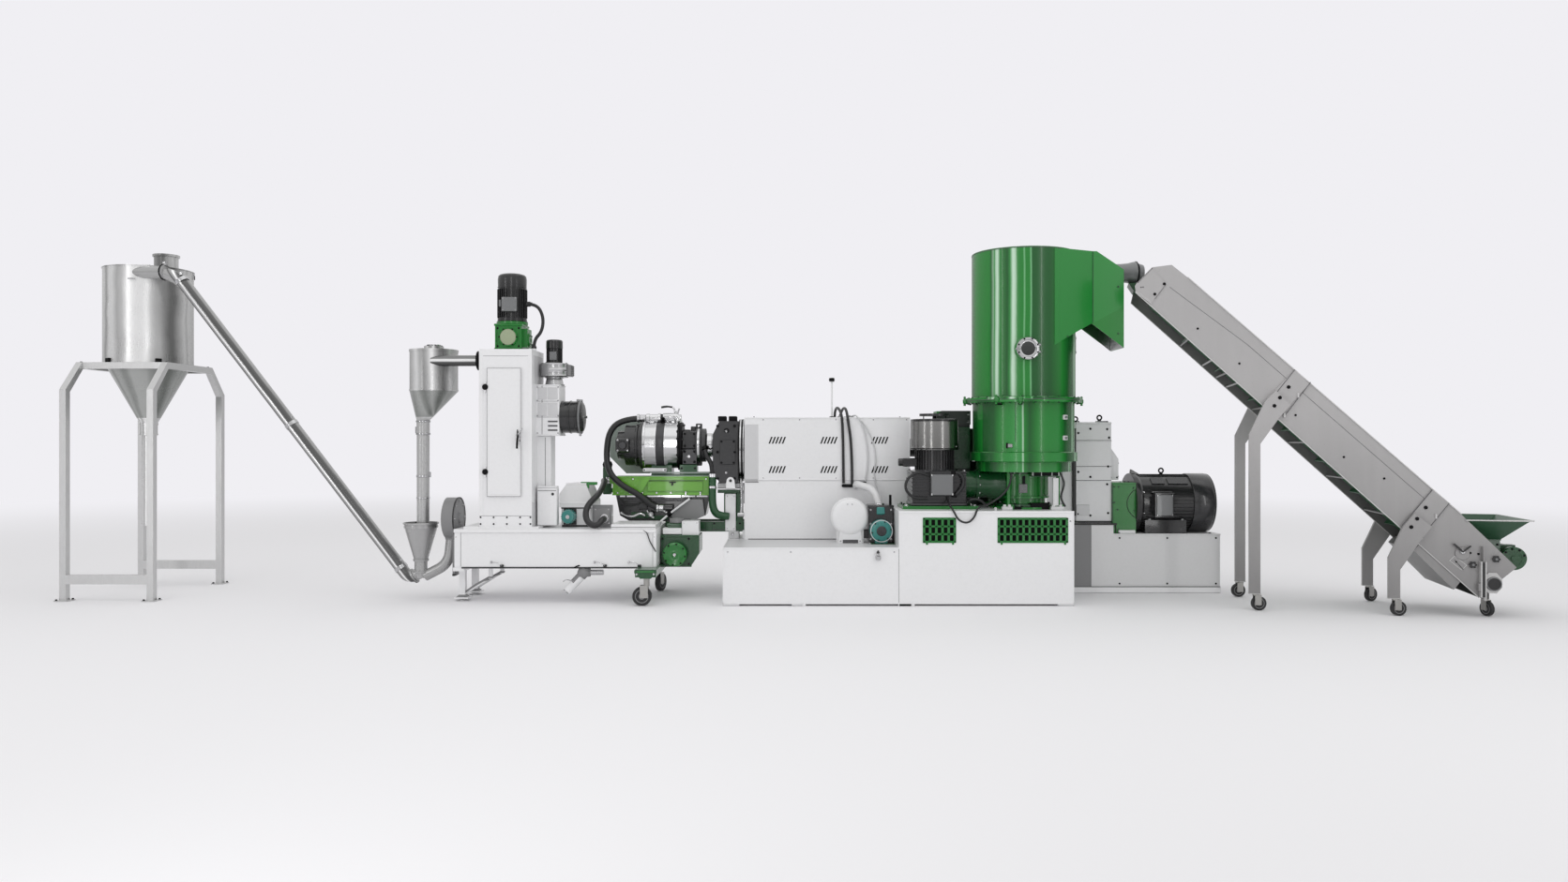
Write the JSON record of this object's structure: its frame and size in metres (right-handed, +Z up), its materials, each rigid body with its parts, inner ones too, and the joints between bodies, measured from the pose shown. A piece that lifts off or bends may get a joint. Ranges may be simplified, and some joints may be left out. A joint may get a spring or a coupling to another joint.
{
  "type": "plastic pelletizing line",
  "caption": "Plastic recycling line: sloping feed conveyor, compactor drum, extruder with pelletizing head, water tank, upright dryer, cyclone, blower and pellet silo.",
  "frame": {"origin": "on the floor, in the middle of the whole line's bounding box", "axes": "+X along the line from the silo to the conveyor's low end, +Y from the operator's side to the back, +Z up"},
  "size_m": [12.969, 2.309, 3.274],
  "materials": {
    "stainless": "brushed stainless sheet",
    "stand_steel": "brushed stainless square tube",
    "white_paint": "smooth white paint",
    "grey_paint": "smooth grey paint",
    "green_paint": "glossy green paint",
    "dark_green_paint": "satin dark green paint",
    "lime_paint": "satin lime green paint",
    "pale_paint": "satin pale grey paint",
    "black_motor": "satin black paint",
    "machined_steel": "machined, satin",
    "dark_cast": "dark machined iron",
    "conveyor_steel": "satin stainless sheet",
    "belt_rubber": "matt green belt",
    "hose_rubber": "matt black",
    "caster_steel": "zinc plated",
    "caster_rubber": "matt dark rubber"
  },
  "bodies": {
    "line": {"barrel": "dark_cast", "blower": "grey_paint", "compactor_motor": "black_motor", "conveying_pipe": "stainless", "conveyor_belt": "belt_rubber", "conveyor_frame": "conveyor_steel", "cooling_unit": "pale_paint", "coupling_guard": "green_paint", "cutter_housing": "machined_steel", "cutter_motor": "black_motor", "cyclone": "stainless", "die_block": "dark_cast", "drum_drive": "green_paint", "drum_lid": "green_paint", "drum_lower": "green_paint", "drum_upper": "green_paint", "dryer_cabinet": "white_paint", "dryer_gearbox": "green_paint", "dryer_motor": "black_motor", "exhaust_fan": "black_motor", "feed_hood": "green_paint", "feed_hopper": "dark_green_paint", "gearbox": "grey_paint", "guide_frame": "pale_paint", "head_carriage": "lime_paint", "head_hose": "hose_rubber", "head_saddle": "dark_green_paint", "hopper_motor": "green_paint", "loop_hose": "hose_rubber", "machine_base": "white_paint", "machine_cover": "white_paint", "main_motor": "black_motor", "mixer_cable": "hose_rubber", "motor_base": "white_paint", "motor_cable": "hose_rubber", "screen_changer": "dark_cast", "sieve_unit": "pale_paint", "silo_lid": "stainless", "silo_shell": "stainless", "silo_stand": "stand_steel", "slide_frame": "dark_green_paint", "tank_deck": "white_paint", "trolley_frame": "dark_green_paint", "water_tank": "white_paint"},
    "door": {"dryer_door": "white_paint"},
    "upper_near_fork": {"upper_near_fork": "caster_steel"},
    "upper_near_wheel": {"upper_near_wheel": "caster_rubber"},
    "upper_far_fork": {"upper_far_fork": "caster_steel"},
    "upper_far_wheel": {"upper_far_wheel": "caster_rubber"},
    "lower_near_fork": {"lower_near_fork": "caster_steel"},
    "lower_near_wheel": {"lower_near_wheel": "caster_rubber"},
    "lower_far_fork": {"lower_far_fork": "caster_steel"},
    "lower_far_wheel": {"lower_far_wheel": "caster_rubber"},
    "tail_fork": {"tail_fork": "caster_steel"},
    "tail_wheel": {"tail_wheel": "caster_rubber"},
    "trolley_near_fork": {"trolley_near_fork": "caster_steel"},
    "trolley_near_wheel": {"trolley_near_wheel": "caster_rubber"},
    "trolley_far_fork": {"trolley_far_fork": "caster_steel"},
    "trolley_far_wheel": {"trolley_far_wheel": "caster_rubber"}
  },
  "joints": [
    {"name": "door_hinge", "type": "hinge", "parent": "line", "child": "door", "pos_m": [-2.54353, -0.22852, 1.571], "axis": [0, 0, -1], "range_deg": [0, 105]},
    {"name": "upper_near_swivel", "type": "hinge", "parent": "line", "child": "upper_near_fork", "pos_m": [4.239, -0.62788, 0.136], "axis": [0, 0, 1], "continuous": true},
    {"name": "upper_near_spin", "type": "hinge", "parent": "upper_near_fork", "child": "upper_near_wheel", "pos_m": [4.265, -0.62788, 0.062], "axis": [0, 1, 0], "continuous": true},
    {"name": "upper_far_swivel", "type": "hinge", "parent": "line", "child": "upper_far_fork", "pos_m": [4.45796, 0.1893, 0.136], "axis": [0, 0, 1], "continuous": true},
    {"name": "upper_far_spin", "type": "hinge", "parent": "upper_far_fork", "child": "upper_far_wheel", "pos_m": [4.43196, 0.1893, 0.062], "axis": [0, -1, 0], "continuous": true},
    {"name": "lower_near_swivel", "type": "hinge", "parent": "line", "child": "lower_near_fork", "pos_m": [5.28799, -0.90896, 0.136], "axis": [0, 0, 1], "continuous": true},
    {"name": "lower_near_spin", "type": "hinge", "parent": "lower_near_fork", "child": "lower_near_wheel", "pos_m": [5.31399, -0.90896, 0.062], "axis": [0, 1, 0], "continuous": true},
    {"name": "lower_far_swivel", "type": "hinge", "parent": "line", "child": "lower_far_fork", "pos_m": [5.50695, -0.09178, 0.136], "axis": [0, 0, 1], "continuous": true},
    {"name": "lower_far_spin", "type": "hinge", "parent": "lower_far_fork", "child": "lower_far_wheel", "pos_m": [5.53139, -0.08289, 0.062], "axis": [-0.342, 0.9397, 0], "continuous": true},
    {"name": "tail_swivel", "type": "hinge", "parent": "line", "child": "tail_fork", "pos_m": [6.04669, -0.89795, 0.136], "axis": [0, 0, 1], "continuous": true},
    {"name": "tail_spin", "type": "hinge", "parent": "tail_fork", "child": "tail_wheel", "pos_m": [6.05121, -0.92355, 0.062], "axis": [0.9848, 0.1736, 0], "continuous": true},
    {"name": "trolley_near_swivel", "type": "hinge", "parent": "line", "child": "trolley_near_fork", "pos_m": [-1.06853, -0.36552, 0.182], "axis": [0, 0, 1], "continuous": true},
    {"name": "trolley_near_spin", "type": "hinge", "parent": "trolley_near_fork", "child": "trolley_near_wheel", "pos_m": [-1.10953, -0.36552, 0.085], "axis": [0, -1, 0], "continuous": true},
    {"name": "trolley_far_swivel", "type": "hinge", "parent": "line", "child": "trolley_far_fork", "pos_m": [-1.06853, 0.57448, 0.182], "axis": [0, 0, 1], "continuous": true},
    {"name": "trolley_far_spin", "type": "hinge", "parent": "trolley_far_fork", "child": "trolley_far_wheel", "pos_m": [-1.05451, 0.61301, 0.085], "axis": [-0.9397, 0.342, 0], "continuous": true}
  ]
}
